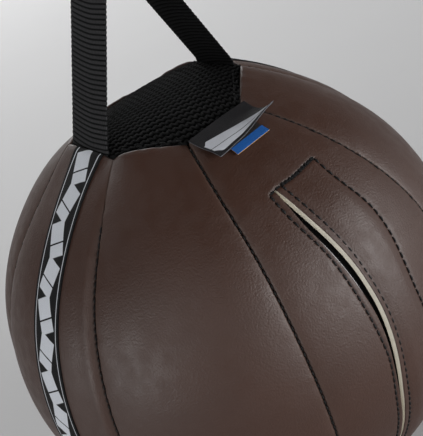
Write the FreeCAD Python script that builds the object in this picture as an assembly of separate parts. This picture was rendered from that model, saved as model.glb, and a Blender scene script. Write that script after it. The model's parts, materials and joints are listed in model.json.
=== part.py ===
import FreeCAD, Part
import math
import os

from FreeCAD import Vector

# Medicine ball with a webbing handle, in millimetres.
# +Z is up, the ball stands on its flat bottom cap, and the origin is the centre of that face.
# The handle spans +X to -X, and the filling port and the woven label face -Y.

# ---- driving dimensions: the ball ----
equator_radius = 130.0
pole_flattening = 0.041       # share of the radius that the ball loses towards its poles
panel_thickness = 3.0         # leatherette bonded to its light grey foam
seam_depth = 2.0              # how far a seam sinks below the crowns beside it
seam_gap = 0.6                # space between two panels, filled by the seam thread
panel_azimuths = {
    "panel_strap_left": 180.0,
    "panel_front_left": 225.0,
    "panel_port": 270.0,
    "panel_front_right": 315.0,
    "panel_strap_right": 0.0,
    "panel_back_right": 45.0,
    "panel_back": 90.0,
    "panel_back_left": 135.0,
}
half_panel = math.radians(180.0 / len(panel_azimuths))
section_count = 13            # cross sections that shape one panel

# ---- driving dimensions: caps ----
cap_polar = math.radians(21.93)      # polar angle of a cap's corners, seen from the ball's centre
cap_thickness = 1.6
cap_clearance = 1.4                  # from a cap's edge to the panels around it
rest_drop = 118.0                    # from the ball's centre down to the rest face
cap_crest = 124.9                    # top of the upper cap above the ball's centre
cap_arch_radius = 114.0              # the upper cap is arched across the handle's span
reinforcement_inset = 4.0            # from a cap's edge in to the patch below it
reinforcement_thickness = 1.2
top_patch_drop = 7.1                 # from the cap's crest down to the patch below the handle's tails

# ---- driving dimensions: handle ----
strap_width = 30.0
strap_thickness = 2.2
strap_root_x = 44.0                  # middle of the webbing where it comes out of the cap's seam
tail_height = 119.6                  # middle of the tails above the ball's centre
tail_inner_x = 8.0                   # where a tail ends under the cap
root_bend_height = 124.6             # above this the webbing leans inward
loop_meet = (5.7, 221.5)             # where the two straight legs would meet, x and height
loop_bend_radius = 11.0              # middle of the webbing round the top of the loop
handle_lift = 6.0                    # how far the handle pulls the cap's edges and the panels up
lift_reach = math.radians(26.0)      # how far down the panels that pull reaches
swing_height = 142.0                 # hinge line of the loop above the ball's centre
swing_gap = 0.2

# ---- driving dimensions: tapes, label and tag ----
tape_width = 20.0
tape_thickness = 0.6
tape_heights = (-112.0, 122.3)       # ends of the side tapes, from the ball's centre
tape_bows = {"side_tape_left": (180.0, -12.0), "side_tape_right": (0.0, 4.0)}
label_width = 38.0
label_depth = 20.6
label_thickness = 0.8
label_tilt = math.radians(-20.0)
tag_width = 21.0
tag_depth = 24.8
tag_thickness = 0.5
tag_tilt = math.radians(-22.0)
tag_offset_x = 2.5
flap_pivot = (-44.2, 118.9)          # y and height of the line that the label and tag turn about
flap_start = 1.4                     # distance from that line to where both come free

# ---- driving dimensions: filling port in the front panel ----
port_half_height = 93.0
slit_x = -10.0
stitch_left_x = -15.0                # seam that holds the left lip
stitch_lip_x = -6.0                  # seam beside the slit that holds the hook tape
stitch_right_x = 18.5                # far seam of the hook tape
lip_thickness = 2.4
lip_side_gap = 0.4
lip_sweep = 3.2                      # extra room beside each lip at mid height, so that it can open
slit_end_gap = 0.3
slit_mid_gap = 1.7
hook_and_loop_thickness = 1.2
underflap_thickness = 0.8
layer_gap = 0.1
thread_size = 0.5

# ---- driving dimensions: filling ----
liner_thickness = 0.8
liner_depth = 7.8                    # from the crown of the panels in to the liner
liner_top = 108.5                    # the liner is flat under the handle's patch
liner_bottom = -113.0
core_radius = 68.0                   # outside of the sand core's bag
core_bag_thickness = 0.9
core_neck_radius = 7.0

centre = Vector(0.0, 0.0, rest_drop)
ray_length = 200.0                   # longer than anything it has to cut


# ---- shape of the ball ----
def crown_radius(polar):
    """Distance from the ball's centre to the outside of a panel along its middle."""
    return equator_radius * (1.0 - pole_flattening * math.cos(polar) ** 2)


def seam_radius(polar):
    """Distance from the ball's centre to the outside of a seam."""
    along = (polar - cap_polar) / (math.pi - 2.0 * cap_polar)
    return crown_radius(polar) - seam_depth * math.sin(math.pi * along)


def handle_pull(polar, azimuth):
    """Extra radius where the taut handle lifts the cap and the panels, most under its roots."""
    from_root = math.acos(min(1.0, abs(math.cos(azimuth))))
    share = min(1.0, max(0.0, (3.0 * half_panel - from_root) / (2.0 * half_panel)))
    nearness = min(1.0, max(0.0, 1.0 - (polar - cap_polar) / lift_reach))
    return handle_lift * share * share * (3.0 - 2.0 * share) * nearness ** 2


def direction(polar, azimuth):
    return Vector(
        math.sin(polar) * math.cos(azimuth),
        math.sin(polar) * math.sin(azimuth),
        math.cos(polar),
    )


def crown_polar(seam_polar, side):
    """Polar angle of a panel's middle on the great circle through its two seam points."""
    return math.atan2(math.sin(seam_polar) * math.cos(side), math.cos(seam_polar))


def panel_section(azimuth, seam_polar, outer_depth, inner_depth):
    """Closed wire across a panel, between two depths below its outside."""
    side = half_panel - math.asin(0.5 * seam_gap / (equator_radius * math.sin(seam_polar)))
    middle_polar = crown_polar(seam_polar, side)
    stations = (
        (seam_polar, azimuth - side, seam_radius(seam_polar)),
        (middle_polar, azimuth, crown_radius(middle_polar)),
        (seam_polar, azimuth + side, seam_radius(seam_polar)),
    )
    outer = []
    inner = []
    for polar, turn, radius in stations:
        surface = radius + handle_pull(polar, turn)
        outer.append(centre + direction(polar, turn) * (surface - outer_depth))
        inner.append(centre + direction(polar, turn) * (surface - inner_depth))
    return Part.Wire([
        Part.Arc(*outer).toShape(),
        Part.makeLine(outer[2], inner[2]),
        Part.Arc(inner[2], inner[1], inner[0]).toShape(),
        Part.makeLine(inner[0], outer[0]),
    ])


def panel_layer(azimuth, outer_depth, inner_depth):
    """Full-length layer that follows one panel; negative depths lie on top of it."""
    step = (math.pi - 2.0 * cap_polar) / (section_count - 1)
    wires = [
        panel_section(azimuth, cap_polar + step * index, outer_depth, inner_depth)
        for index in range(section_count)
    ]
    return Part.makeLoft(wires, True)


def keep_box(x_range, y_range, z_range):
    """Box between the given limits, with heights measured from the ball's centre."""
    corner = Vector(x_range[0], y_range[0], rest_drop + z_range[0])
    return Part.makeBox(
        x_range[1] - x_range[0], y_range[1] - y_range[0], z_range[1] - z_range[0], corner
    )


# ---- panels ----
def strap_slots():
    """Room that the webbing needs between the upper cap and the panels under the handle."""
    half_width = 0.5 * strap_width + 0.4
    reach = strap_root_x + 0.5 * strap_thickness + 0.3
    return keep_box((-reach, reach), (-half_width, half_width), (100.0, 135.0))


def lens_prism(left_x, left_bulge, right_x, right_bulge, half_height):
    """Prism through the front panel whose two long sides are arcs seen from the front."""
    corners = [
        Vector(left_x, 0.0, rest_drop - half_height),
        Vector(left_x, 0.0, rest_drop + half_height),
        Vector(right_x, 0.0, rest_drop + half_height),
        Vector(right_x, 0.0, rest_drop - half_height),
    ]
    left_mid = Vector(left_x + left_bulge, 0.0, rest_drop)
    right_mid = Vector(right_x + right_bulge, 0.0, rest_drop)
    outline = Part.Wire([
        Part.Arc(corners[0], left_mid, corners[1]).toShape(),
        Part.makeLine(corners[1], corners[2]),
        Part.Arc(corners[2], right_mid, corners[3]).toShape(),
        Part.makeLine(corners[3], corners[0]),
    ])
    return Part.Face(outline).extrude(Vector(0.0, -ray_length, 0.0))


def make_panel(name):
    azimuth = math.radians(panel_azimuths[name])
    panel = panel_layer(azimuth, 0.0, panel_thickness)
    if name.startswith("panel_strap"):
        panel = panel.cut(strap_slots())
    if name == "panel_port":
        window = lens_prism(stitch_left_x, -lip_sweep, stitch_lip_x, lip_sweep, port_half_height)
        panel = panel.cut(window)
    return panel


def make_seam_threads():
    """Thread that closes each of the eight seams, in the middle of the panels' thickness."""
    depth = 0.5 * (panel_thickness - thread_size)
    width = seam_gap - 2.0 * layer_gap
    step = (math.pi - 2.0 * cap_polar) / (section_count - 1)
    threads = []
    for index in range(len(panel_azimuths)):
        azimuth = (2 * index + 1) * half_panel
        sides = []
        for extra in (0.0, thread_size):
            points = []
            for station in range(section_count):
                polar = cap_polar + step * station
                radius = seam_radius(polar) + handle_pull(polar, azimuth) - depth - extra
                points.append(centre + direction(polar, azimuth) * radius)
            curve = Part.BSplineCurve()
            curve.interpolate(points)
            sides.append((curve.toShape(), points))
        outline = Part.Wire([
            sides[0][0],
            Part.makeLine(sides[0][1][-1], sides[1][1][-1]),
            sides[1][0],
            Part.makeLine(sides[1][1][0], sides[0][1][0]),
        ])
        across = Vector(-math.sin(azimuth), math.cos(azimuth), 0.0)
        face = Part.Face(outline)
        face.translate(across * (-0.5 * width))
        threads.append(face.extrude(across * width))
    return Part.makeCompound(threads)


# ---- caps ----
def octagon_prism(apothem, low, high):
    """Eight-sided prism with a flat on +X; heights are measured from the ball's centre."""
    corner_radius = apothem / math.cos(half_panel)
    corners = [
        Vector(
            corner_radius * math.cos((2 * index + 1) * half_panel),
            corner_radius * math.sin((2 * index + 1) * half_panel),
            rest_drop + low,
        )
        for index in range(len(panel_azimuths))
    ]
    outline = Part.makePolygon(corners + corners[:1])
    return Part.Face(outline).extrude(Vector(0.0, 0.0, high - low))


def arch_layer(crest, thickness):
    """Sheet arched across the handle's span, with its crest at the given height."""
    start = Vector(-ray_length, 0.0, rest_drop + crest - cap_arch_radius)
    along = Vector(1.0, 0.0, 0.0)
    outer = Part.makeCylinder(cap_arch_radius, 2.0 * ray_length, start, along)
    inner = Part.makeCylinder(cap_arch_radius - thickness, 2.0 * ray_length, start, along)
    return outer.cut(inner)


def cap_apothem():
    corner_radius = crown_radius(cap_polar) * math.sin(cap_polar)
    return corner_radius * math.cos(half_panel) - cap_clearance


def make_top_cap():
    return arch_layer(cap_crest, cap_thickness).common(octagon_prism(cap_apothem(), 90.0, 140.0))


def make_top_reinforcement():
    patch = octagon_prism(cap_apothem() - reinforcement_inset, 90.0, 140.0)
    return arch_layer(cap_crest - top_patch_drop, reinforcement_thickness).common(patch)


def cap_thread_ring(low, high):
    apothem = cap_apothem() + 0.2
    outer = octagon_prism(apothem + thread_size, low, high)
    return outer.cut(octagon_prism(apothem, low, high))


def make_top_cap_thread():
    """Thread of the seam round the upper cap, at half the cap's thickness."""
    depth = 0.5 * (cap_thickness - thread_size)
    return arch_layer(cap_crest - depth, thread_size).common(cap_thread_ring(90.0, 140.0))


def make_bottom_cap():
    return octagon_prism(cap_apothem(), -rest_drop, cap_thickness - rest_drop)


def make_bottom_reinforcement():
    low = cap_thickness - rest_drop + layer_gap
    return octagon_prism(cap_apothem() - reinforcement_inset, low, low + reinforcement_thickness)


def make_bottom_cap_thread():
    low = 0.5 * (cap_thickness - thread_size) - rest_drop
    return cap_thread_ring(low, low + thread_size)


# ---- handle ----
def strap_outline():
    """The whole strap seen from the front: tail, root, leg, top of the loop, leg, root, tail."""
    meet = Vector(loop_meet[0], 0.0, rest_drop + loop_meet[1])
    bends = [
        Vector(side * strap_root_x, 0.0, rest_drop + root_bend_height) for side in (-1.0, 1.0)
    ]
    edges = []
    for offset in (-0.5 * strap_thickness, 0.5 * strap_thickness):
        edges.append(loop_side(meet, bends, offset))
    outer, inner = edges
    ends = [
        Part.makeLine(outer[0].Vertexes[0].Point, inner[0].Vertexes[0].Point),
        Part.makeLine(outer[-1].Vertexes[-1].Point, inner[-1].Vertexes[-1].Point),
    ]
    return Part.Face(Part.Wire(Part.__sortEdges__(outer + inner + ends)))


def loop_side(meet, bends, offset):
    """Edges of one face of the strap; offset moves it in (+) or out (-) from the middle."""
    up = Vector(0.0, 0.0, 1.0)
    tail = rest_drop + tail_height
    corners = []
    for bend, side in zip(bends, (-1.0, 1.0)):
        lean = (meet - bend).normalize()
        inward = Vector(-side * lean.z, 0.0, side * lean.x)
        root_x = bend.x - side * offset
        leg_point = bend + inward * offset
        at_root = leg_point + lean * ((root_x - leg_point.x) / lean.x)
        corners.append({
            "tail": Vector(-side * -tail_inner_x, 0.0, tail + offset),
            "turn": Vector(root_x, 0.0, tail + offset),
            "bend": at_root,
            "lean": lean,
            "inward": inward,
        })
    left, right = corners
    # middle of the round top, on the line that halves the angle between the legs
    half_angle = 0.5 * left["lean"].getAngle(right["lean"])
    halving = (left["lean"] + right["lean"]).normalize()
    hub = meet - halving * (loop_bend_radius / math.sin(half_angle))
    radius = loop_bend_radius - offset
    start = hub - left["inward"] * radius
    end = hub - right["inward"] * radius
    top = hub + halving * radius
    return [
        Part.makeLine(left["tail"], left["turn"]),
        Part.makeLine(left["turn"], left["bend"]),
        Part.makeLine(left["bend"], start),
        Part.Arc(start, top, end).toShape(),
        Part.makeLine(end, right["bend"]),
        Part.makeLine(right["bend"], right["turn"]),
        Part.makeLine(right["turn"], right["tail"]),
    ]


def whole_strap():
    face = strap_outline()
    face.translate(Vector(0.0, -0.5 * strap_width, 0.0))
    return face.extrude(Vector(0.0, strap_width, 0.0))


def swing_disc(gap):
    """Cylinder round the hinge line that the rounded ends of the loop turn in."""
    start = Vector(-ray_length, 0.0, rest_drop + swing_height)
    along = Vector(1.0, 0.0, 0.0)
    return Part.makeCylinder(0.5 * strap_width + gap, 2.0 * ray_length, start, along)


def above_swing():
    reach = (-ray_length, ray_length)
    return keep_box(reach, reach, (swing_height, swing_height + ray_length))


def make_handle_loop():
    return whole_strap().common(swing_disc(0.0).fuse(above_swing()))


def make_handle_root(side):
    """Fixed end of the strap: the tail under the cap and the root that comes out of the seam."""
    root = whole_strap().cut(swing_disc(swing_gap)).cut(above_swing())
    reach = (0.0, ray_length) if side > 0.0 else (-ray_length, 0.0)
    return root.common(keep_box(reach, (-ray_length, ray_length), (0.0, ray_length)))


def make_root_bartacks():
    """Box stitching on each tail: four bars and a cross of thread below the webbing."""
    top = tail_height - 0.5 * strap_thickness - 0.05
    length = 22.0
    width = 22.0
    middle_x = 0.5 * (strap_root_x + tail_inner_x)
    bar = 1.4
    tacks = []
    for side in (-1.0, 1.0):
        frame = keep_box((-0.5 * length, 0.5 * length), (-0.5 * width, 0.5 * width), (-0.4, 0.0))
        opening = keep_box(
            (bar - 0.5 * length, 0.5 * length - bar), (bar - 0.5 * width, 0.5 * width - bar), (-1.0, 1.0)
        )
        tack = frame.cut(opening)
        for turn in (45.0, -45.0):
            reach = 0.5 * length * math.sqrt(2.0) - 0.6
            cross = keep_box((-reach, reach), (-0.5 * bar, 0.5 * bar), (-0.4, 0.0))
            cross.rotate(Vector(0.0, 0.0, 0.0), Vector(0.0, 0.0, 1.0), turn)
            tack = tack.fuse(cross)
        tack.translate(Vector(side * middle_x, 0.0, top))
        tacks.append(tack.removeSplitter())
    return Part.makeCompound(tacks)


# ---- tapes, label and tag ----
def make_side_tape(name):
    """Flat tape sewn on the panel from the handle's root to the bottom cap, slightly bowed."""
    degrees, bow = tape_bows[name]
    azimuth = math.radians(degrees)
    half_width = 0.5 * tape_width
    low, high = (rest_drop + height for height in tape_heights)
    outline = Part.Wire([
        Part.Arc(
            Vector(0.0, -half_width, low),
            Vector(0.0, bow - half_width, rest_drop),
            Vector(0.0, -half_width, high),
        ).toShape(),
        Part.makeLine(Vector(0.0, -half_width, high), Vector(0.0, half_width, high)),
        Part.Arc(
            Vector(0.0, half_width, high),
            Vector(0.0, bow + half_width, rest_drop),
            Vector(0.0, half_width, low),
        ).toShape(),
        Part.makeLine(Vector(0.0, half_width, low), Vector(0.0, -half_width, low)),
    ])
    prism = Part.Face(outline).extrude(Vector(ray_length * math.cos(azimuth), 0.0, 0.0))
    return panel_layer(azimuth, -0.05 - tape_thickness, -0.05).common(prism)


def flap_plate(width, depth, thickness, tilt, lift, offset_x):
    """Thin plate that leaves the seam line outward over the front panel."""
    plate = Part.makeBox(
        width, depth - flap_start, thickness, Vector(offset_x - 0.5 * width, -depth, lift)
    )
    plate.rotate(Vector(0.0, 0.0, 0.0), Vector(1.0, 0.0, 0.0), -math.degrees(tilt))
    plate.translate(Vector(0.0, flap_pivot[0], rest_drop + flap_pivot[1]))
    return plate


def make_woven_label():
    return flap_plate(label_width, label_depth, label_thickness, label_tilt, 0.3, 0.0)


def make_side_tag():
    return flap_plate(tag_width, tag_depth, tag_thickness, tag_tilt, -0.3, tag_offset_x)


# ---- filling port ----
def make_port_lip(side):
    """Lip beside the slit, left (-1) or right (+1), free to spread between the two seams."""
    layer = panel_layer(math.radians(panel_azimuths["panel_port"]), 0.0, lip_thickness)
    half_height = port_half_height - lip_side_gap
    outer_x = stitch_left_x + lip_side_gap if side < 0.0 else stitch_lip_x - lip_side_gap
    free_x = slit_x + side * 0.5 * slit_end_gap
    bulge = side * 0.5 * (slit_mid_gap - slit_end_gap)
    straight = 0.001
    if side < 0.0:
        prism = lens_prism(outer_x, -straight, free_x, bulge, half_height)
    else:
        prism = lens_prism(free_x, bulge, outer_x, straight, half_height)
    return layer.common(prism)


def port_patch(x_range, half_height, outer_depth, thickness):
    layer = panel_layer(
        math.radians(panel_azimuths["panel_port"]), outer_depth, outer_depth + thickness
    )
    return layer.common(keep_box(x_range, (-ray_length, 0.0), (-half_height, half_height)))


def make_hook_tape():
    depth = panel_thickness + layer_gap
    return port_patch((stitch_lip_x, stitch_right_x), 90.0, depth, hook_and_loop_thickness)


def make_loop_tape():
    depth = panel_thickness + hook_and_loop_thickness + 2.0 * layer_gap
    return port_patch((stitch_left_x, stitch_right_x), 90.0, depth, hook_and_loop_thickness)


def make_port_underflap():
    depth = panel_thickness + 2.0 * hook_and_loop_thickness + 3.0 * layer_gap
    return port_patch((stitch_left_x - 9.0, stitch_right_x + 4.0), 94.0, depth, underflap_thickness)


def make_port_stitching():
    """Thread that shows round the port: three upright rows and the rows across both ends."""
    row = 0.5 * thread_size
    ends = port_half_height + 1.0
    left_row = stitch_left_x - lip_sweep - 0.8
    lip_row = stitch_lip_x + lip_sweep + 0.8
    runs = [
        ((left_row - row, left_row + row), (-ends, ends)),
        ((lip_row - row, lip_row + row), (-ends, ends)),
        ((stitch_right_x - row, stitch_right_x + row), (-ends, ends)),
    ]
    for end in (-ends, ends):
        runs.append(((left_row - row, stitch_right_x + row), (end - row, end + row)))
    layer = panel_layer(
        math.radians(panel_azimuths["panel_port"]), -0.05 - thread_size, -0.05
    )
    threads = None
    for x_range, z_range in runs:
        run = keep_box(x_range, (-ray_length, 0.0), z_range)
        threads = run if threads is None else threads.fuse(run)
    return layer.common(threads)


# ---- filling ----
def round_body(depth, top, bottom):
    """Solid of revolution a given depth below the crowns, cut flat at the top and bottom."""
    top_polar = math.acos(top / (crown_radius(0.0) - depth))
    bottom_polar = math.acos(bottom / (crown_radius(0.0) - depth))
    steps = 24
    points = []
    for index in range(steps + 1):
        polar = top_polar + (bottom_polar - top_polar) * index / steps
        points.append(centre + direction(polar, 0.0) * (crown_radius(polar) - depth))
    curve = Part.BSplineCurve()
    curve.interpolate(points)
    axis_top = Vector(0.0, 0.0, points[0].z)
    axis_bottom = Vector(0.0, 0.0, points[-1].z)
    outline = Part.Wire([
        curve.toShape(),
        Part.makeLine(points[-1], axis_bottom),
        Part.makeLine(axis_bottom, axis_top),
        Part.makeLine(axis_top, points[0]),
    ])
    return Part.Face(outline).revolve(Vector(0.0, 0.0, 0.0), Vector(0.0, 0.0, 1.0), 360.0)


def make_inner_liner():
    """Cloth bag that holds the filling, with a mouth behind the port's slit."""
    outer = round_body(liner_depth, liner_top, liner_bottom)
    inner = round_body(
        liner_depth + liner_thickness, liner_top - liner_thickness, liner_bottom + liner_thickness
    )
    mouth = keep_box((slit_x - 2.0, slit_x + 2.0), (-ray_length, 0.0), (-80.0, 80.0))
    return outer.cut(inner).cut(mouth)


def make_textile_filling():
    depth = liner_depth + liner_thickness + layer_gap
    shrink = liner_thickness + layer_gap
    wad = round_body(depth, liner_top - shrink, liner_bottom + shrink)
    return wad.cut(Part.makeSphere(core_radius + layer_gap, centre))


def make_core_bag():
    bag = Part.makeSphere(core_radius, centre)
    bag = bag.cut(Part.makeSphere(core_radius - core_bag_thickness, centre))
    return bag.cut(Part.makeCylinder(core_neck_radius, ray_length, centre))


def make_core_sand():
    return Part.makeSphere(core_radius - core_bag_thickness - layer_gap, centre)


def build():
    parts = {name: make_panel(name) for name in panel_azimuths}
    parts["seam_threads"] = make_seam_threads()
    parts["top_cap"] = make_top_cap()
    parts["top_reinforcement"] = make_top_reinforcement()
    parts["top_cap_thread"] = make_top_cap_thread()
    parts["bottom_cap"] = make_bottom_cap()
    parts["bottom_reinforcement"] = make_bottom_reinforcement()
    parts["bottom_cap_thread"] = make_bottom_cap_thread()
    parts["handle_loop"] = make_handle_loop()
    parts["handle_root_left"] = make_handle_root(-1.0)
    parts["handle_root_right"] = make_handle_root(1.0)
    parts["root_bartacks"] = make_root_bartacks()
    for name in tape_bows:
        parts[name] = make_side_tape(name)
    parts["woven_label"] = make_woven_label()
    parts["side_tag"] = make_side_tag()
    parts["port_lip_left"] = make_port_lip(-1.0)
    parts["port_lip_right"] = make_port_lip(1.0)
    parts["hook_tape"] = make_hook_tape()
    parts["loop_tape"] = make_loop_tape()
    parts["port_underflap"] = make_port_underflap()
    parts["port_stitching"] = make_port_stitching()
    parts["inner_liner"] = make_inner_liner()
    parts["textile_filling"] = make_textile_filling()
    parts["core_bag"] = make_core_bag()
    parts["core_sand"] = make_core_sand()
    return parts


os.makedirs("parts", exist_ok=True)
for node, shape in build().items():
    shape.exportStep("parts/" + node + ".step")
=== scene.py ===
import json
import math

import bmesh
import bpy
import numpy as np
from mathutils import Matrix, Vector


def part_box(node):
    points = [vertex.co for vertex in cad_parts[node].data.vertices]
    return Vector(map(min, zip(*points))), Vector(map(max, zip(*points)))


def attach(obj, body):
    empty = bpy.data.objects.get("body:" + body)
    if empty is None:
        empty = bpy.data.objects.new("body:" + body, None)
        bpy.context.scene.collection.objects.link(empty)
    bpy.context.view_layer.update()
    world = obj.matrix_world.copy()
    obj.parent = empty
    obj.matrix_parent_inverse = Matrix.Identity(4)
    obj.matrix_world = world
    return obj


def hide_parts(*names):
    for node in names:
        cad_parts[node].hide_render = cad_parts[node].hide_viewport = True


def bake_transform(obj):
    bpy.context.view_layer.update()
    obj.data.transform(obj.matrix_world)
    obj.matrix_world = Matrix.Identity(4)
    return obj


# Medicine ball with a webbing handle. Shapes are worked out in millimetres and made in metres.

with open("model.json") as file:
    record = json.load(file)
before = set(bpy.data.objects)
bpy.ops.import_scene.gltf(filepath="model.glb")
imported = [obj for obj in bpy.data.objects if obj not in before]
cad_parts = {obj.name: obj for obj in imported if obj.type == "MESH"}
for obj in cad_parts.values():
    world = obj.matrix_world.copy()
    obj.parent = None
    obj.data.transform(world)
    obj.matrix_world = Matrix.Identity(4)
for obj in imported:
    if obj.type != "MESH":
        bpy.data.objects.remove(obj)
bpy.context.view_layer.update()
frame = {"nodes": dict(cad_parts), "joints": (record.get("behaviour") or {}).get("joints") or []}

MM = 0.001
TURN = 2.0 * math.pi


def mm_box(node):
    """Lowest and highest corner of a CAD node in millimetres."""
    low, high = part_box(node)
    return np.array(low) / MM, np.array(high) / MM


# ---- sizes and places, from the frame ----
LIP_GAP = 0.4                    # between a lip's end and the window's end
WEBBING_HALF = 1.1               # half the thickness of the handle's webbing
back_low, back_high = mm_box("panel_back")
EQUATOR = back_high[1]
CENTRE_Z = 0.5 * (back_low[2] + back_high[2])
CENTRE = np.array([0.0, 0.0, CENTRE_Z])
JOINTS = {joint["name"]: np.array(joint["pos_m"]) / MM for joint in frame["joints"]}
_, FLAP_Y, FLAP_Z = JOINTS["label_flip"]
SLIT_X = JOINTS["port_spread"][0]
LINE_LEFT = mm_box("loop_tape")[0][0]
LINE_LIP, LINE_RIGHT = (corner[0] for corner in mm_box("hook_tape"))
lip_low, lip_high = mm_box("port_lip_right")
PORT_HALF = 0.5 * (lip_high[2] - lip_low[2]) + LIP_GAP
CAP_APOTHEM, _, cap_top = mm_box("top_cap")[1]
CAP_CREST = cap_top - CENTRE_Z
root_low, root_high = mm_box("handle_root_left")
STRAP_HALF = root_high[1]
STRAP_ROOT = -root_low[0] - WEBBING_HALF
TAIL_INNER = -root_high[0]
TAIL_HEIGHT = root_low[2] + WEBBING_HALF - CENTRE_Z

# ---- shape of the ball, as in the CAD source ----
POLE_FLATTENING = 0.041
SEAM_DEPTH = 2.0
SEAM_CLEARANCE = 0.40            # from a panel's edge to the middle of its seam
HALF_PANEL = math.pi / 8.0
HALF_TURN = 22.5                 # the same in degrees
CAP_POLAR = math.radians(21.93)
HANDLE_LIFT = 6.0
LIFT_REACH = math.radians(26.0)
LEATHER = 3.0                    # thickness of the leatherette with its foam
WARP_PITCH = 1.25                # of the handle's webbing
PANELS = {
    "panel_strap_left": 180.0,
    "panel_front_left": 225.0,
    "panel_port": 270.0,
    "panel_front_right": 315.0,
    "panel_strap_right": 0.0,
    "panel_back_right": 45.0,
    "panel_back": 90.0,
    "panel_back_left": 135.0,
}
EDGE_STEPS = (0.0, 0.06, 0.22, 0.5, 0.9, 1.4, 2.0, 2.7, 3.6, 4.8, 6.2, 8.0)
ROLL = 0.95                      # radius of the leatherette where it turns in at a seam
SOFT_SEAM = PANELS["panel_strap_left"] + HALF_TURN    # starts as a soft fold under the handle
PORT_AZIMUTH = math.radians(PANELS["panel_port"])
FIRST_ROW = math.atan(math.tan(CAP_POLAR) * math.cos(HALF_PANEL))


# ---- numbers ----
def smooth(low, high, value):
    """0 below low, 1 above high, and a smooth turn between them."""
    share = np.clip((value - low) / (high - low), 0.0, 1.0)
    return share * share * (3.0 - 2.0 * share)


def ripple(position, wavelengths, seed):
    """Sum of sines with fixed pseudo-random phases, between about -1 and 1."""
    rng = np.random.default_rng(seed)
    total = 0.0
    for wavelength in wavelengths:
        total = total + np.sin(TURN * (position / wavelength + rng.random()))
    return total / len(wavelengths)


def swell(points, size, seed):
    """Slow uneven swelling over the surface, between about -1 and 1."""
    rng = np.random.default_rng(seed)
    total = 0.0
    for _ in range(5):
        wave = unit(rng.normal(size=3))
        phase = rng.random()
        total = total + np.sin(TURN * ((points @ wave) / size + phase))
    return total / 5.0


def edge_roll(radius, *distances):
    """Drop of a rounded edge; distances are measured in from each side."""
    short = 0.0
    for distance in distances:
        short = short + np.clip(radius - distance, 0.0, radius) ** 2
    return radius - np.sqrt(np.clip(radius ** 2 - short, 0.0, None))


def fill(start, end, count):
    """Evenly spaced values between two others, without the two."""
    return start + (end - start) * np.linspace(0.0, 1.0, count)[1:-1]


def hump(begins, full, fades, gone, value):
    """0 at first, 1 between full and fades, and 0 again at the end."""
    return smooth(begins, full, value) * (1.0 - smooth(fades, gone, value))


def unit(vectors):
    """The same directions with length 1."""
    return vectors / np.linalg.norm(vectors, axis=-1, keepdims=True)


def mirrored(half):
    """Values from 0 to 1 as a line from -1 to 1."""
    half = np.array(half)
    return np.concatenate([-half[:0:-1], half])[None, :]


# ---- meshes ----
def put_in_scene(name, data):
    obj = bpy.data.objects.new(name, data)
    bpy.context.scene.collection.objects.link(obj)
    return obj


def add_object(name, points, faces, smooth_angle=50.0):
    """Mesh object from points in millimetres."""
    mesh = bpy.data.meshes.new(name)
    mesh.from_pydata((np.asarray(points) * MM).tolist(), [], [list(f) for f in faces])
    mesh.validate()
    work = bmesh.new()
    work.from_mesh(mesh)
    bmesh.ops.recalc_face_normals(work, faces=work.faces)
    work.to_mesh(mesh)
    work.free()
    mesh.shade_smooth()
    mesh.set_sharp_from_angle(angle=math.radians(smooth_angle))
    return put_in_scene(name, mesh)


def sheet(name, outer, inner, kept=None, values=None, smooth_angle=50.0, turned_in=False):
    """Closed sheet between two grids of points. kept picks the cells that are there, values are
    numbers for each point that the materials read, and turned_in edges look like the outside."""
    rows, columns = outer.shape[:2]
    count = rows * columns
    index = np.arange(count).reshape(rows, columns)
    cells = np.stack([index[:-1, :-1], index[1:, :-1], index[1:, 1:], index[:-1, 1:]], axis=-1)
    if kept is None:
        kept = np.ones(cells.shape[:2], bool)
    top = cells[kept]
    starts = top.ravel()
    ends = np.roll(top, -1, axis=1).ravel()
    alone = ~np.isin(ends * count + starts, starts * count + ends)
    starts, ends = starts[alone], ends[alone]
    sides = np.stack([ends, starts, starts + count, ends + count], axis=-1)
    faces = np.concatenate([top, top[:, ::-1] + count, sides])
    used, faces = np.unique(faces, return_inverse=True)
    points = np.concatenate([outer.reshape(-1, 3), inner.reshape(-1, 3)])[used]
    obj = add_object(name, points, faces.reshape(-1, 4).tolist(), smooth_angle)
    for key, value in (values or {}).items():
        both = np.concatenate([value.ravel(), value.ravel()])[used].astype(np.float32)
        obj.data.attributes.new(key, "FLOAT", "POINT").data.foreach_set("value", both)
    second = np.ones(len(obj.data.polygons), np.int32)
    second[: len(top)] = 0
    if turned_in:
        second[2 * len(top) :] = 0
    obj.data.polygons.foreach_set("material_index", second)
    return obj


def tube(path, radii, sides=6):
    """Points and faces of a round thread along a path, closed at both ends."""
    tangent = unit(np.gradient(path, axis=0))
    first = unit(np.cross(tangent, path.mean(0) - CENTRE))
    second = np.cross(tangent, first)
    turns = TURN * np.arange(sides)[:, None] / sides
    ring = np.cos(turns) * first[:, None] + np.sin(turns) * second[:, None]
    points = (path[:, None] + radii[:, None, None] * ring).reshape(-1, 3)
    faces = []
    for low in range(0, len(points) - sides, sides):
        for side in range(sides):
            after = (side + 1) % sides
            faces.append([low + side, low + after, low + sides + after, low + sides + side])
    faces.append(list(range(sides))[::-1])
    faces.append(list(range(len(points) - sides, len(points))))
    return points, faces


def join_tubes(name, tubes):
    points, faces = [], []
    for tube_points, tube_faces in tubes:
        start = len(points)
        points.extend(tube_points)
        faces.extend([[start + corner for corner in face] for face in tube_faces])
    return add_object(name, points, faces)


def finish_piece(obj, materials, replaces=(), body=None):
    """Gives a piece its materials, hides the CAD nodes it stands for and, when one is named, attaches it
    to its body.
    """
    for material in materials:
        obj.data.materials.append(material)
    if replaces:
        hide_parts(*replaces)
    if body:
        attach(obj, body)
    return obj


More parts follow.
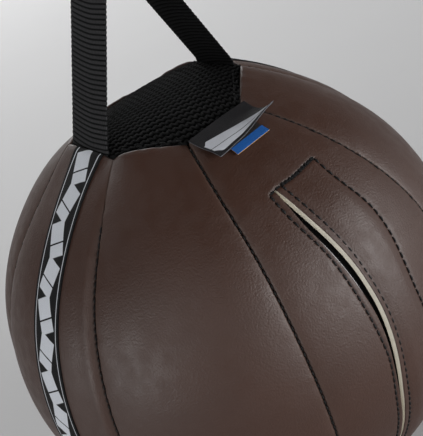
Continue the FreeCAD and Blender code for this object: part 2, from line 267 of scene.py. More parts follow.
# ---- materials ----
class Paint:
    """One node material, built step by step."""

    def __init__(self, name):
        self.material = bpy.data.materials.new(name)
        self.material.use_nodes = True
        self.tree = self.material.node_tree
        self.surface = self.tree.nodes["Principled BSDF"]
        self.place = self.add("ShaderNodeTexCoord").outputs["Object"]

    def add(self, kind, **settings):
        node = self.tree.nodes.new(kind)
        for key, value in settings.items():
            setattr(node, key, value)
        return node

    def put(self, socket, value):
        if isinstance(value, bpy.types.NodeSocket):
            self.tree.links.new(value, socket)
        else:
            socket.default_value = value

    def math(self, operation, first, second=0.0, third=0.0):
        node = self.add("ShaderNodeMath", operation=operation)
        for socket, value in zip(node.inputs, (first, second, third)):
            self.put(socket, value)
        return node.outputs[0]

    def times(self, first, second):
        return self.math("MULTIPLY", first, second)

    def minus(self, first, second):
        return self.math("SUBTRACT", first, second)

    def far(self, value, middle=0.0):
        """Distance of a value from a middle one."""
        return self.math("ABSOLUTE", self.minus(value, middle))

    def wave(self, position, wavelength):
        """Sine between -1 and 1 of a position in millimetres."""
        return self.math("SINE", self.times(position, TURN / wavelength))

    def between(self, low, high, value, start=0.0, end=1.0):
        node = self.add("ShaderNodeMapRange", interpolation_type="SMOOTHSTEP")
        for socket, number in zip(node.inputs, (value, low, high, start, end)):
            self.put(socket, number)
        return node.outputs[0]

    def value(self, name):
        return self.add("ShaderNodeAttribute", attribute_name=name).outputs["Fac"]

    def axes(self):
        """The place's three coordinates, in metres."""
        node = self.add("ShaderNodeSeparateXYZ")
        self.put(node.inputs[0], self.place)
        return node.outputs

    def spots(self, kind, size, result, **inputs):
        """A texture whose spots are about size millimetres across."""
        node = self.add(kind)
        self.put(node.inputs["Vector"], self.place)
        node.inputs["Scale"].default_value = 1.0 / (size * MM)
        for key, number in inputs.items():
            node.inputs[key].default_value = number
        return node.outputs[result]

    def noise(self, size, detail=3.0):
        return self.spots("ShaderNodeTexNoise", size, "Fac", Detail=detail)

    def cells(self, size):
        distance = self.spots("ShaderNodeTexVoronoi", size, "Distance")
        distance.node.feature = "SMOOTH_F1"
        return distance

    def mix(self, share, first, second):
        node = self.add("ShaderNodeMix", data_type="RGBA")
        self.put(node.inputs["Factor"], share)
        colour_inputs = [socket for socket in node.inputs if socket.type == "RGBA"]
        for socket, colour in zip(colour_inputs, (first, second)):
            self.put(socket, colour if isinstance(colour, bpy.types.NodeSocket) else (*colour, 1.0))
        return [socket for socket in node.outputs if socket.type == "RGBA"][0]

    def tone(self, size, detail, dark, light):
        """Uneven colour between two."""
        return self.mix(self.noise(size, detail), dark, light)

    def bump(self, *layers):
        """Bumps on top of each other; each is a height and how deep it is in millimetres."""
        normal = None
        for height, depth in layers:
            node = self.add("ShaderNodeBump")
            self.put(node.inputs["Distance"], depth * MM)
            self.put(node.inputs["Height"], height)
            if normal:
                self.put(node.inputs["Normal"], normal)
            normal = node.outputs["Normal"]
        return normal

    def done(self, colour, roughness, normal, specular=0.5):
        names = ("Base Color", "Roughness", "Normal", "Specular IOR Level")
        for name, value in zip(names, (colour, roughness, normal, specular)):
            self.put(self.surface.inputs[name], value)
        return self.material


def grey(value, blue=1.0):
    return (value, value, value * blue)


def leather_material():
    """Dark brown leatherette: fine pebbled grain, a soft sheen, and paler worn edges at the seams."""
    paint = Paint("leatherette")
    base = paint.tone(34.0, 4.0, (0.037, 0.0152, 0.0092), (0.050, 0.0215, 0.0137))
    base = paint.mix(paint.times(paint.value("edge"), 0.22), base, (0.12, 0.082, 0.066))
    base = paint.mix(paint.value("rim"), base, grey(0.62, 1.03))
    grain = (paint.cells(0.9), 0.10), (paint.noise(0.8, 1.5), 0.09), (paint.noise(2.6, 5.0), 0.025)
    roughness = paint.between(0.3, 0.7, paint.noise(7.0, 4.0), 0.46, 0.56)
    return paint.done(base, roughness, paint.bump(*grain))


def foam_material():
    """Light grey-beige foam that backs the leatherette, seen where the sheet is cut."""
    paint = Paint("leatherette_foam")
    pores = paint.cells(0.45)
    base = paint.tone(3.0, 3.0, (0.66, 0.62, 0.53), (0.80, 0.76, 0.66))
    base = paint.mix(paint.between(0.05, 0.3, pores, 0.35, 0.0), base, (0.44, 0.41, 0.34))
    return paint.done(base, 0.9, paint.bump((pores, 0.12)), 0.2)


def strap_material(name, painted_light_level):
    """Black webbing: warp yarns that pass over and under the ribs, with a little fuzz and painted shade
    in the valleys between the ribs. The second argument scales the whole colour: the inside faces use a
    darker copy, painted shade."""
    paint = Paint(name)
    across = paint.value("across")
    ribs = paint.math("SINE", paint.times(paint.value("rib"), math.pi))
    crossing = paint.times(paint.wave(across, WARP_PITCH), ribs)
    fuzz = paint.noise(0.35, 4.0)
    # the second argument scales these colours; a low value makes the darker copy for the inside faces,
    # painted shade
    dark, pale, palest = (grey(painted_light_level * value, 1.04) for value in (0.014, 0.054, 0.062))
    base = paint.mix(paint.between(-0.2, 1.0, crossing, 0.0, 0.6), paint.mix(fuzz, dark, pale), palest)
    # painted shade: near black in the valleys between the ribs
    painted_valley_shade = paint.between(0.18, 0.85, paint.far(ribs), 0.88, 0.0)
    base = paint.mix(painted_valley_shade, base, grey(0.0008))
    normal = paint.bump((crossing, 0.16), (paint.wave(across, 0.34), 0.05), (fuzz, 0.10))
    return paint.done(base, 0.80, normal, 0.05)


def cap_material():
    """Heavy black webbing cloth, with painted shade: near black in the gaps between its knuckles and
    darker towards its far left side.
    """
    paint = Paint("cap_webbing")
    fuzz = paint.noise(0.4, 4.0)
    base = paint.mix(fuzz, grey(0.006, 1.033), grey(0.022, 1.023))
    # painted shade: near black in the gaps between the weave's knuckles, where the weave is low
    base = paint.mix(paint.between(0.45, 0.95, paint.value("weave")), grey(0.0004), base)
    # painted shade: the cap goes darker towards its far left side, where x - y is small
    x, y, _ = paint.axes()
    painted_shade_far_side = paint.between(-0.042, -0.004, paint.minus(x, y))
    base = paint.mix(painted_shade_far_side, grey(0.0012), base)
    normal = paint.bump((paint.wave(paint.value("strand"), 0.42), 0.08), (fuzz, 0.12))
    return paint.done(base, 0.60, normal, 0.04)


def tape_material():
    """Flat woven tape: black, a pale line near each edge, and broad pale strokes that zigzag."""
    paint = Paint("side_tape")
    along, across = paint.value("along"), paint.value("across")
    stroke_length, reach, stroke_half, edge_line = 18.6, 2.7, 5.3, 8.3
    lean_of_ends, cut_place = 0.045, 0.2
    turn = paint.math("DIVIDE", along, stroke_length)
    parity = paint.math("MODULO", paint.math("FLOOR", turn), 2.0)
    side = paint.math("MULTIPLY_ADD", parity, 2.0, -1.0)
    part = paint.math("MULTIPLY_ADD", paint.math("FRACT", turn), 2.0, -1.0)
    off = paint.minus(across, paint.times(paint.times(side, part), reach))
    slant = paint.math("MULTIPLY_ADD", paint.times(side, off), lean_of_ends, part)
    stroke = paint.between(-0.3, 0.1, paint.minus(paint.far(off), stroke_half), 1.0, 0.0)
    ends = paint.between(0.86, 0.91, paint.far(slant), 1.0, 0.0)
    cuts = paint.between(0.03, 0.055, paint.far(slant, cut_place))
    strokes = paint.times(paint.times(stroke, ends), cuts)
    lines = paint.between(0.16, 0.34, paint.far(paint.far(across), edge_line), 1.0, 0.0)
    weave = paint.times(paint.wave(along, 0.62), paint.wave(across, 0.7))
    dark = paint.tone(0.8, 3.0, (0.002, 0.002, 0.0022), (0.007, 0.007, 0.0075))
    light = paint.mix(paint.between(-1.0, 1.0, weave), (0.50, 0.52, 0.56), (0.72, 0.75, 0.80))
    base = paint.mix(paint.math("MAXIMUM", strokes, lines), dark, light)
    return paint.done(base, 0.65, paint.bump((weave, 0.07)), 0.15)


def label_material():
    """Charcoal damask with a plain pale bar that tapers, one fine line and no lettering."""
    paint = Paint("label_cloth")
    along, depth = paint.value("along"), paint.value("depth")
    bar_start, bar_length, bar_depth, bar_drift, bar_half, line_off = -18.0, 36.5, 13.2, 4.6, 5.9, 1.2
    from_left = paint.math("DIVIDE", paint.minus(along, bar_start), bar_length)
    off = paint.minus(depth, paint.math("MULTIPLY_ADD", from_left, bar_drift, bar_depth))
    half = paint.times(paint.math("POWER", paint.minus(1.0, from_left), 0.6), bar_half)
    half = paint.times(half, paint.between(0.0, 0.1, from_left, 0.55, 1.0))
    bar = paint.between(0.0, 0.25, paint.minus(half, paint.far(off)))
    bar = paint.times(bar, paint.between(-0.01, 0.01, from_left))
    bar = paint.times(bar, paint.between(0.1, 0.25, paint.far(off, line_off)))
    weave = paint.times(paint.wave(along, 0.5), paint.wave(depth, 0.42))
    dark = paint.tone(1.2, 4.0, (0.006, 0.0055, 0.0065), (0.015, 0.0138, 0.016))
    light = paint.mix(paint.between(-1.0, 1.0, weave), (0.42, 0.43, 0.47), (0.62, 0.64, 0.69))
    base = paint.mix(bar, dark, light)
    return paint.done(base, 0.65, paint.bump((weave, 0.06)), 0.15)


def tag_material():
    """Satin ribbon: charcoal near the seam, blue at its free end."""
    paint = Paint("tag_cloth")
    satin = paint.wave(paint.value("along"), 0.36)
    blue = paint.mix(paint.between(-1.0, 1.0, satin), (0.014, 0.085, 0.30), (0.022, 0.125, 0.42))
    dark = paint.tone(0.9, 3.0, (0.020, 0.017, 0.016), (0.040, 0.034, 0.032))
    base = paint.mix(paint.between(19.9, 20.2, paint.value("depth")), dark, blue)
    return paint.done(base, 0.45, paint.bump((satin, 0.05)), 0.3)


def tag_back_material():
    """Yellow underside of the ribbon."""
    paint = Paint("tag_back")
    base = paint.tone(0.6, 3.0, (0.45, 0.22, 0.010), (0.62, 0.33, 0.018))
    return paint.done(base, 0.6, paint.bump((paint.noise(0.4, 2.0), 0.05)))


def thread_material(name, dark, light):
    """Bonded thread with a twist."""
    paint = Paint(name)
    base = paint.tone(0.5, 3.0, dark, light)
    return paint.done(base, 0.6, paint.bump((paint.noise(0.25, 2.0), 0.06)), 0.25)


def cloth_material(name, dark, light, pitch, roughness=0.85):
    """Plain cloth for the pieces inside: a woven bump and an uneven tone."""
    paint = Paint(name)
    x, y, z = (paint.wave(paint.math("DIVIDE", place, MM), pitch) for place in paint.axes())
    weave = paint.times(z, paint.math("ADD", x, y))
    base = paint.tone(5.0, 5.0, dark, light)
    base = paint.mix(paint.between(0.5, 1.2, weave, 0.0, 0.25), base, light)
    return paint.done(base, roughness, paint.bump((weave, 0.10), (paint.noise(0.5, 4.0), 0.12)), 0.2)


def floor_material():
    paint = Paint("floor")
    base = paint.tone(260.0, 2.0, (0.655, 0.655, 0.66), (0.685, 0.685, 0.69))
    return paint.done(base, 0.75, paint.bump((paint.noise(3.0, 3.0), 0.02)), 0.2)


# ---- leatherette panels ----
# A row runs across a panel along a great circle; row is its polar angle in the panel's middle.
def crown_radius(polar):
    return EQUATOR * (1.0 - POLE_FLATTENING * np.cos(polar) ** 2)


def seam_sag(polar):
    along = np.clip((polar - CAP_POLAR) / (math.pi - 2.0 * CAP_POLAR), 0.0, 1.0)
    return SEAM_DEPTH * np.sin(math.pi * along)


def handle_pull(polar, azimuth):
    from_root = np.arccos(np.clip(np.abs(np.cos(azimuth)), 0.0, 1.0))
    share = np.clip((3.0 * HALF_PANEL - from_root) / (2.0 * HALF_PANEL), 0.0, 1.0)
    nearness = np.clip(1.0 - (polar - CAP_POLAR) / LIFT_REACH, 0.0, 1.0)
    return HANDLE_LIFT * share ** 2 * (3.0 - 2.0 * share) * nearness ** 2


def half_angle(row):
    """Angle from a panel's middle to its seam, along a row."""
    return np.arctan(math.tan(HALF_PANEL) * np.sin(row))


# Places where the hand-sewn leatherette is pulled aside, in degrees, or swollen, in millimetres:
# azimuth, polar, reach sideways, reach down, pull sideways, pull down and swelling.
PULLS = (
    (292.5, 74.0, 8.5, 30.0, 4.8, 0.0, 0.0),
    (247.5, 32.0, 8.0, 15.0, -1.2, 0.0, 0.0),
    (SOFT_SEAM, 54.0, 9.0, 14.0, -0.7, 0.0, 0.0),
    (SOFT_SEAM, 88.0, 9.0, 32.0, -1.0, 0.0, 0.0),
    (259.5, 43.0, 3.0, 3.5, 0.7, 0.0, 0.0),
    (263.0, 46.0, 5.0, 6.0, 0.0, -0.7, 0.0),
    (281.0, 43.0, 8.0, 6.0, 0.0, -0.6, 0.0),
    (163.0, 22.0, 9.0, 8.0, 0.0, 0.0, 2.4),
    (198.0, 22.0, 6.0, 6.0, 0.0, 0.0, -1.1),
)


def pulled(polar, azimuth):
    """Where a point of the even ball ends up on the hand-sewn one, and how far it stands out."""
    down, turn = np.degrees(polar), np.degrees(azimuth) % 360.0
    more_down, more_turn, swelling = 0.0, 0.0, 0.0
    for at_turn, at_down, wide, tall, pull_turn, pull_down, swollen in PULLS:
        near = np.exp(-((turn - at_turn) / wide) ** 2 - ((down - at_down) / tall) ** 2)
        more_turn = more_turn + pull_turn * near
        more_down = more_down + pull_down * near
        swelling = swelling + swollen * near
    return np.radians(down + more_down), np.radians(turn + more_turn), swelling


def from_centre(polar, turn, radius):
    """Points at angles and distances from the ball's centre."""
    ray = np.stack([np.sin(polar) * np.cos(turn), np.sin(polar) * np.sin(turn), np.cos(polar)], axis=-1)
    return CENTRE + ray * radius[..., None]


def panel_points(azimuth, row, angle, depth):
    """Points of a panel, a given depth below its smooth outside."""
    ahead = np.cos(angle) * np.sin(row)
    x = ahead * math.cos(azimuth) - np.sin(angle) * math.sin(azimuth)
    y = ahead * math.sin(azimuth) + np.sin(angle) * math.cos(azimuth)
    polar = np.arccos(np.clip(np.cos(angle) * np.cos(row), -1.0, 1.0))
    turn = np.arctan2(y, x)
    share = np.abs(angle) / half_angle(row)
    radius = crown_radius(polar) - seam_sag(polar) * share ** 2.6 + handle_pull(polar, turn) - depth
    polar, turn, swelling = pulled(polar, turn)
    return from_centre(polar, turn, radius + swelling)


def edge_rows():
    """Rows beside a panel's top end, close together at the edge."""
    return FIRST_ROW + np.array(EDGE_STEPS) / EQUATOR


def panel_rows():
    top = edge_rows()
    return np.concatenate([top, fill(top[-1], math.pi - top[-1], 120), math.pi - top[::-1]])[:, None]


PUCKERS = (6.3, 8.9, 12.7)       # wavelengths along a seam
GATHERS = (7.1, 10.3)            # wavelengths along the caps' edges
SWELL_SIZE = 58.0
SOFT_FROM, SOFT_TO = 16.0, 62.0  # the soft fold hardens over this distance from the cap


def proud_edge(row, to_seam):
    """The panel under the handle stands up in a low ridge before it dives into the soft seam."""
    share = smooth(32.0, 46.0, np.degrees(row))
    dive = 1.1 * np.exp(-to_seam / 2.6)
    ridge = 0.8 * np.exp(-((to_seam - 4.6) / 3.2) ** 2)
    return share * (dive - ridge)


def leather_depth(name, row, angle):
    """How far the real surface lies below the smooth one, and how near it is to a seam: rolled
    edges, puckers, gathers and slow swelling."""
    seed = list(PANELS).index(name) * 10
    to_seam = (half_angle(row) - np.abs(angle)) * EQUATOR - SEAM_CLEARANCE
    to_seam = np.clip(to_seam, 0.0, None)
    from_top = (row - FIRST_ROW) * EQUATOR
    from_bottom = (math.pi - FIRST_ROW - row) * EQUATOR
    at_soft_seam = (PANELS[name] + np.where(angle > 0.0, HALF_TURN, -HALF_TURN)) == SOFT_SEAM
    soft = at_soft_seam * (1.0 - smooth(SOFT_FROM, SOFT_TO, from_top))
    drop = edge_roll(ROLL * (1.0 - 0.85 * soft), to_seam) + edge_roll(ROLL, from_top, from_bottom)
    drop = drop + (0.75 + 0.4 * soft) * np.exp(-to_seam / (3.3 + 3.0 * soft))
    drop = drop + (at_soft_seam & (angle > 0.0)) * proud_edge(row, to_seam)
    along = row * EQUATOR + 0.25 * to_seam
    left, right = (ripple(along, PUCKERS, seed + side) for side in (0, 1))
    ends = smooth(4.0, 30.0, from_top) * smooth(4.0, 30.0, from_bottom)
    drop = drop + 0.30 * np.where(angle > 0.0, right, left) * np.exp(-to_seam / 4.2) * ends
    gather = ripple(np.tan(angle) * EQUATOR, GATHERS, seed + 5)
    drop = drop + 0.22 * gather * (np.exp(-from_top / 5.0) + np.exp(-from_bottom / 5.0))
    points = panel_points(math.radians(PANELS[name]), row, angle, 0.0)
    drop = drop + 0.35 * swell(points, SWELL_SIZE, seed + 7) * smooth(0.0, 14.0, to_seam)
    return drop, np.exp(-to_seam / 1.2)


def clearance(seam_turn, row):
    """From a panel's edge to the middle of its seam: less where the seam is drawn tight."""
    tight = 1.0 - smooth(math.radians(31.0), math.radians(40.0), row)
    return SEAM_CLEARANCE * (1.0 - 0.75 * tight * (seam_turn == SOFT_SEAM))


def panel_columns(name, rows):
    """Angles across a panel, close together near its seams."""
    steps = np.array(EDGE_STEPS)
    sides = []
    for turn in (-HALF_TURN, HALF_TURN):
        half = half_angle(rows) * EQUATOR - clearance(PANELS[name] + turn, rows)
        near = np.broadcast_to(steps, (len(rows), len(steps)))
        sides.append(half - np.hstack([near, fill(steps[-1], half, 14)]))
    middle = np.zeros((len(rows), 1))
    return np.hstack([-sides[0], middle, sides[1][:, ::-1]]) / EQUATOR


def make_panel(name, leather, foam):
    azimuth = math.radians(PANELS[name])
    angle = panel_columns(name, panel_rows())
    polar = np.broadcast_to(panel_rows(), angle.shape)
    depth, edge = leather_depth(name, polar, angle)
    outer = panel_points(azimuth, polar, angle, depth)
    inner = panel_points(azimuth, polar, angle, LEATHER)
    obj = sheet(name + "_leather", outer, inner, values={"edge": edge}, turned_in=True)
    finish_piece(obj, [leather, foam], [name], "shell")


# ---- filling port ----
WINDOW_TOP = math.acos(PORT_HALF / (EQUATOR * (1.0 - POLE_FLATTENING * 0.5)))
LINE_STEPS = (0.0, 0.3, 0.65, 1.1, 1.7, 2.6, 4.0)
PORT_LINES = {
    # sideways start of each line, how far it bows out, and the polar angles where the bow
    # begins, is full, begins to fade and has gone
    "left": (LINE_LEFT - 1.3, 2.5, 48.0, 62.0, 84.0, 98.0),
    "slit": (SLIT_X - 1.7, 4.7, 42.0, 68.0, 72.0, 98.0),
    "lip": (LINE_LIP - 1.9, 4.8, 38.0, 66.0, 72.0, 98.0),
    "right": (LINE_RIGHT - 1.6, 4.4, 46.0, 60.0, 61.0, 80.0),
}


def port_x(line, row):
    """Sideways place of a row of stitches, which bows to the right where the slit hangs open.
    Above and below the window it follows the panel's taper."""
    start, bow, begins, full, fades, gone = PORT_LINES[line]
    share = hump(begins, full, fades, gone, np.degrees(row))
    taper = np.minimum(1.0, half_angle(row) / half_angle(WINDOW_TOP))
    return (start + bow * share) * taper


def slit_edges(row):
    """Left lip's edge, right lip's lower edge and right lip's upper edge."""
    degrees = np.degrees(row)
    closed_gap = 0.35 + 1.25 * np.sin(np.clip(row, 0.0, math.pi)) ** 8
    right_low = port_x("slit", row)
    right_high = right_low + 0.1 + 0.95 * hump(42.0, 47.0, 74.0, 106.0, degrees)
    left = right_low - closed_gap - 2.3 * hump(44.0, 54.0, 62.0, 86.0, degrees)
    return left, right_low, right_high


def port_groove(row, x):
    """Depth that the rows of stitches pull the leatherette in, less the pillow between them."""
    groove_width, groove, pillow_height, blur = 0.9, 0.55, 1.3, 0.004
    from_end = np.minimum(row, math.pi - row) - WINDOW_TOP
    in_rows = smooth(-blur, blur, row - WINDOW_TOP)
    in_rows = in_rows * smooth(-blur, blur, math.pi - row - WINDOW_TOP)
    left, lip, right = (port_x(line, row) for line in ("left", "lip", "right"))
    depth = 0.0
    for place in (left, lip, right):
        depth = np.maximum(depth, np.exp(-((x - place) / groove_width) ** 2) * in_rows)
    in_span = smooth(-0.8, 0.2, x - left) * smooth(-0.8, 0.2, right - x)
    for end in (WINDOW_TOP, math.pi - WINDOW_TOP):
        away = (row - end) * EQUATOR
        depth = np.maximum(depth, np.exp(-(away / groove_width) ** 2) * in_span)
    pillow = smooth(0.0, 7.0, x - lip) * smooth(0.0, 7.0, right - x)
    return groove * depth - pillow_height * pillow * smooth(2.0, 26.0, from_end * EQUATOR)


def window_rows():
    """Rows of the port panel above, beside and below the window, close together at its ends."""
    steps = np.array(LINE_STEPS) / EQUATOR
    start = edge_rows()
    upper = fill(start[-1], WINDOW_TOP - steps[-1], 10)
    inside = fill(WINDOW_TOP + steps[-1], math.pi - WINDOW_TOP - steps[-1], 88)
    above = np.concatenate([start, upper, (WINDOW_TOP - steps)[::-1]])
    window = np.concatenate([(WINDOW_TOP + steps)[1:], inside, (math.pi - WINDOW_TOP - steps)[:0:-1]])
    return above, window, (math.pi - above)[::-1]


def port_points(row, x, extra_depth):
    """Points of the port panel or of a lip, and how near each is to a seam."""
    angle = np.arcsin(np.clip(x / EQUATOR, -1.0, 1.0))
    depth, edge = leather_depth("panel_port", row, angle)
    depth = depth + port_groove(row, x) + extra_depth
    return panel_points(PORT_AZIMUTH, row, angle, depth), edge


def make_port_panel(leather, foam):
    """The front panel, with the window that the two lips fill."""
    above, window, below = window_rows()
    rows = np.concatenate([above, window, below])[:, None]
    half = EQUATOR * np.sin(half_angle(rows) - SEAM_CLEARANCE / EQUATOR)
    left_line, right_line = port_x("left", rows), port_x("right", rows)
    steps = np.array(EDGE_STEPS) * 0.9
    left, right = steps - half, (half - steps)[:, ::-1]
    room = 22.0                  # the steps beside a line shrink where less than this is left
    left_close = left_line - np.array(LINE_STEPS)[::-1] * np.minimum(1.0, (half + left_line) / room)
    right_close = right_line + np.array(LINE_STEPS) * np.minimum(1.0, (half - right_line) / room)
    left_fill = fill(left[:, -1:], left_close[:, :1], 10)
    middle = fill(left_line, right_line, 12)
    right_fill = fill(right_close[:, -1:], right[:, :1], 9)
    x = np.hstack([left, left_fill, left_close, middle, right_close, right_fill, right])
    polar = np.broadcast_to(rows, x.shape)
    outer, edge = port_points(polar, x, 0.0)
    inner = panel_points(PORT_AZIMUTH, polar, np.arcsin(x / EQUATOR), LEATHER)
    first_row = len(above) - 1
    first_hole = left.shape[1] + left_fill.shape[1] + left_close.shape[1] - 1
    kept = np.ones((x.shape[0] - 1, x.shape[1] - 1), bool)
    kept[first_row : first_row + len(window) + 1, first_hole : first_hole + middle.shape[1] + 1] = False
    obj = sheet("panel_port_leather", outer, inner, kept=kept, values={"edge": edge}, turned_in=True)
    finish_piece(obj, [leather, foam], ["panel_port"], "shell")


def lip_rows():
    above, window, below = window_rows()
    return np.concatenate([above[-1:], window, below[:1]])[:, None]


LIP_SIDES = {-1: "left", 1: "right"}
LIP_THICKNESS = 2.5
LEFT_BEVEL = 0.45


def lip_columns(held, free, count, inward):
    """Columns from the row of stitches to a free edge, close together at both."""
    start = held + inward * np.array((0.0, 0.3, 0.65, 1.1, 1.6))
    end = free - inward * np.array((1.4, 0.9, 0.5, 0.2, 0.05, 0.0))
    return np.hstack([start, fill(start[:, -1:], end[:, :1], count), end])


def make_lip(side, leather, foam):
    """One side of the slit, from the row of stitches that holds it to its free edge."""
    name = "port_lip_" + LIP_SIDES[side]
    rows = lip_rows()
    left_edge, right_low, right_high = slit_edges(rows)
    held = port_x(LIP_SIDES[side], rows)
    free_top, free_low = (left_edge - LEFT_BEVEL, left_edge) if side < 0 else (right_high, right_low)
    count = 6 if side < 0 else 23
    x = lip_columns(held, free_top, count, -side)
    x_low = lip_columns(held, free_low, count, -side)
    polar = np.broadcast_to(rows, x.shape)
    rise = lip_rise(side, polar, x, free_top)
    outer, edge = port_points(polar, x, edge_roll(0.5, np.abs(free_top - x)) + rise)
    inner = panel_points(PORT_AZIMUTH, polar, np.arcsin(x_low / EQUATOR), LIP_THICKNESS + rise)
    if side > 0:
        outer, inner, edge = outer[:, ::-1], inner[:, ::-1], edge[:, ::-1]
    at_edge = (side < 0) & (np.abs(free_top - x) < 0.3)
    rim = at_edge * hump(56.0, 59.0, 68.0, 71.0, np.degrees(polar))
    obj = sheet(name + "_leather", outer, inner, values={"edge": edge, "rim": rim})
    return finish_piece(obj, [leather, foam], [name])


def lip_rise(side, row, x, free):
    """Depth of a lip's free edge below its surroundings: the right lip stands up, the left one sinks."""
    height, reach = (0.55, 2.4) if side < 0 else (-0.75, 3.4)
    share = hump(46.0, 60.0, 84.0, 104.0, np.degrees(row))
    return height * share * np.exp(-np.abs(free - x) / reach)


def blend_lip(obj):
    """Bakes a lip's placement into its mesh; the lip gets no body."""
    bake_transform(obj)


# ---- stitches ----
def stitch(first, last, radius, rise):
    """One stitch between two holes: up out of the first, over, and down into the second."""
    out = unit(0.5 * (first + last) - CENTRE)
    shares = np.array((0.10, 0.18, 0.34, 0.5, 0.66, 0.82, 0.90))
    heights = np.array((-0.9, 0.1, 0.8, 1.0, 0.8, 0.1, -0.9)) * rise
    path = first + (last - first) * shares[:, None] + out * heights[:, None]
    return tube(path, radius * np.array((0.6, 0.85, 1.0, 1.05, 1.0, 0.85, 0.6)))


def stitches(holes, radius=0.48, rise=0.36):
    """A row of stitches through a list of holes."""
    return [stitch(first, last, radius, rise) for first, last in zip(holes[:-1], holes[1:])]


def sew(name, rows, thread, nodes=(), body=None):
    """One piece from all of its stitches."""
    return finish_piece(join_tubes(name, rows), [thread], nodes, body)


def port_spot(row, x, above=0.1):
    point, _ = port_points(np.array([[row]]), np.array([[x]]), -above)
    return point[0, 0]


def upright_row(line):
    pitch = 4.0
    length = (math.pi - 2.0 * WINDOW_TOP) * EQUATOR
    polars = np.linspace(WINDOW_TOP, math.pi - WINDOW_TOP, int(round(length / pitch)) + 1)
    return stitches([port_spot(polar, float(port_x(line, polar))) for polar in polars])


def end_row(polar, start, end, pitch, offset=0.0):
    count = max(1, int(round(abs(end - start) / pitch)))
    places = np.linspace(start, end, count + 1)
    return stitches([port_spot(polar + offset / EQUATOR, x) for x in places])


def zigzag(polar, start, end):
    """Fine overlock thread that runs to and fro across the top of the window."""
    half_width, above, turns = 0.7, 0.25, 17
    spots = []
    for index, x in enumerate(np.linspace(start, end, turns)):
        off = half_width if index % 2 else -half_width
        spots.append(port_spot(polar + off / EQUATOR, x, above))
    return stitches(spots, 0.26)


def make_port_stitches(thread):
    """Rows down both sides of the window and across its ends, and one that rides on the right lip."""
    rows = upright_row("left") + upright_row("right")
    for polar, out in ((WINDOW_TOP, -0.45), (math.pi - WINDOW_TOP, 0.45)):
        left, lip, right = (float(port_x(line, polar)) for line in ("left", "lip", "right"))
        rows += end_row(polar, left, lip, 3.6)
        rows += end_row(polar, lip, right, 2.4, out)
        rows += end_row(polar, lip, right, 2.1, -out)
        rows += zigzag(polar, lip, right)
    sew("port_stitches", rows, thread, ["port_stitching"], "shell")
    blend_lip(sew("port_lip_stitches", upright_row("lip"), thread))


def make_seam_stitches(thread):
    """Stitches sunk into each of the eight seams. The soft fold's top has none."""
    pitch, margin, sunk, soft_until = 3.7, 3.0, 1.35, 34.0
    length = (math.pi - 2.0 * FIRST_ROW) * EQUATOR - 2.0 * margin
    rows = FIRST_ROW + (margin + np.linspace(0.0, length, int(length / pitch) + 1)) / EQUATOR
    pieces = []
    for azimuth in PANELS.values():
        sewn = rows[np.degrees(rows) > soft_until] if azimuth + HALF_TURN == SOFT_SEAM else rows
        pieces += stitches(panel_points(math.radians(azimuth), sewn, half_angle(sewn), sunk), 0.42, 0.45)
    sew("seam_stitches", pieces, thread, ["seam_threads"], "shell")


# ---- caps ----
CORNER_REACH = crown_radius(CAP_POLAR) * math.sin(CAP_POLAR)
NOTCH = STRAP_HALF + 0.5         # half the width of the notch that the handle comes up through


def weave_height(x, y):
    """Height from 0 to 1 of a coarse cloth whose rows zigzag, and the phase along its strands."""
    across_rows, across_knots = (0.098, 0.244), (0.283, -0.088)      # waves for each millimetre
    row_wave = math.hypot(*across_rows)
    rows = TURN * (across_rows[0] * x + across_rows[1] * y)
    knots = TURN * (across_knots[0] * x + across_knots[1] * y)
    ridge = np.abs(np.cos(0.5 * (rows + 1.15 * np.sin(knots)))) ** 0.8
    knuckle = 0.5 + 0.5 * np.cos(knots * 2.0 + 0.6)
    return ridge * (0.72 + 0.28 * knuckle), rows / (TURN * row_wave)


def cap_level(x, y):
    """Height of the arched top cap."""
    return CENTRE_Z + CAP_CREST - 0.0007 * x ** 2 - 0.0044 * y ** 2


def polygon_distance(x, y, corners):
    """Distance to the nearest side of a polygon."""
    best = np.full(x.shape, 1e9)
    for (ax, ay), (bx, by) in zip(corners, corners[1:] + corners[:1]):
        length = math.hypot(bx - ax, by - ay)
        ux, uy = (bx - ax) / length, (by - ay) / length
        along = np.clip((x - ax) * ux + (y - ay) * uy, 0.0, length)
        best = np.minimum(best, np.hypot(x - ax - along * ux, y - ay - along * uy))
    return best


def cap_grid(long_x, short_x, corner_y, top_y, notch_x=None):
    """Rows of points that fill an eight-sided outline, and their distance to its edge. notch_x is
    how far in the notches for the handle reach."""
    spacing, near_notch = 0.56, 0.03
    near = np.array((0.0, 0.2, 0.45, 0.8))
    ends = np.array((0.0, 0.25, 0.55)) / long_x
    rows = np.linspace(-top_y, top_y, int(2.0 * top_y / spacing))
    rows = np.concatenate([rows, top_y - near, near - top_y])
    right = [(long_x, -corner_y), (long_x, corner_y)]
    if notch_x:
        beside = np.array((NOTCH - near_notch, NOTCH + near_notch))
        rows = np.concatenate([rows, beside, -beside])
        right[1:1] = [(long_x, -NOTCH), (notch_x, -NOTCH), (notch_x, NOTCH), (long_x, NOTCH)]
    rows = np.unique(rows)[::-1, None]
    shares = np.linspace(-1.0, 1.0, int(2.0 * long_x / spacing))
    shares = np.unique(np.concatenate([shares, ends - 1.0, 1.0 - ends]))[None, :]
    taper = np.clip((np.abs(rows) - corner_y) / (top_y - corner_y), 0.0, 1.0)
    width = long_x + (short_x - long_x) * taper
    if notch_x:
        width = np.where(np.abs(rows) < NOTCH, notch_x, width)
    x, y = np.broadcast_arrays(width * shares, rows)
    half = [(short_x, -top_y), *right, (short_x, top_y)]
    return x, y, polygon_distance(x, y, half + [(-a, -b) for a, b in half])


def make_cap(name, points, outer_z, inner_z, cloth):
    """A cap's sheet between an upper and a lower surface, with its weave for the material."""
    x, y = points
    height, strand = weave_height(x, y)
    outer, inner = (np.stack([x, y, z], axis=-1) for z in (outer_z, inner_z))
    values = {"weave": height, "strand": strand}
    obj = sheet(name + "_webbing", outer, inner, values=values, smooth_angle=80.0)
    finish_piece(obj, [cloth, cloth], [name], "shell")


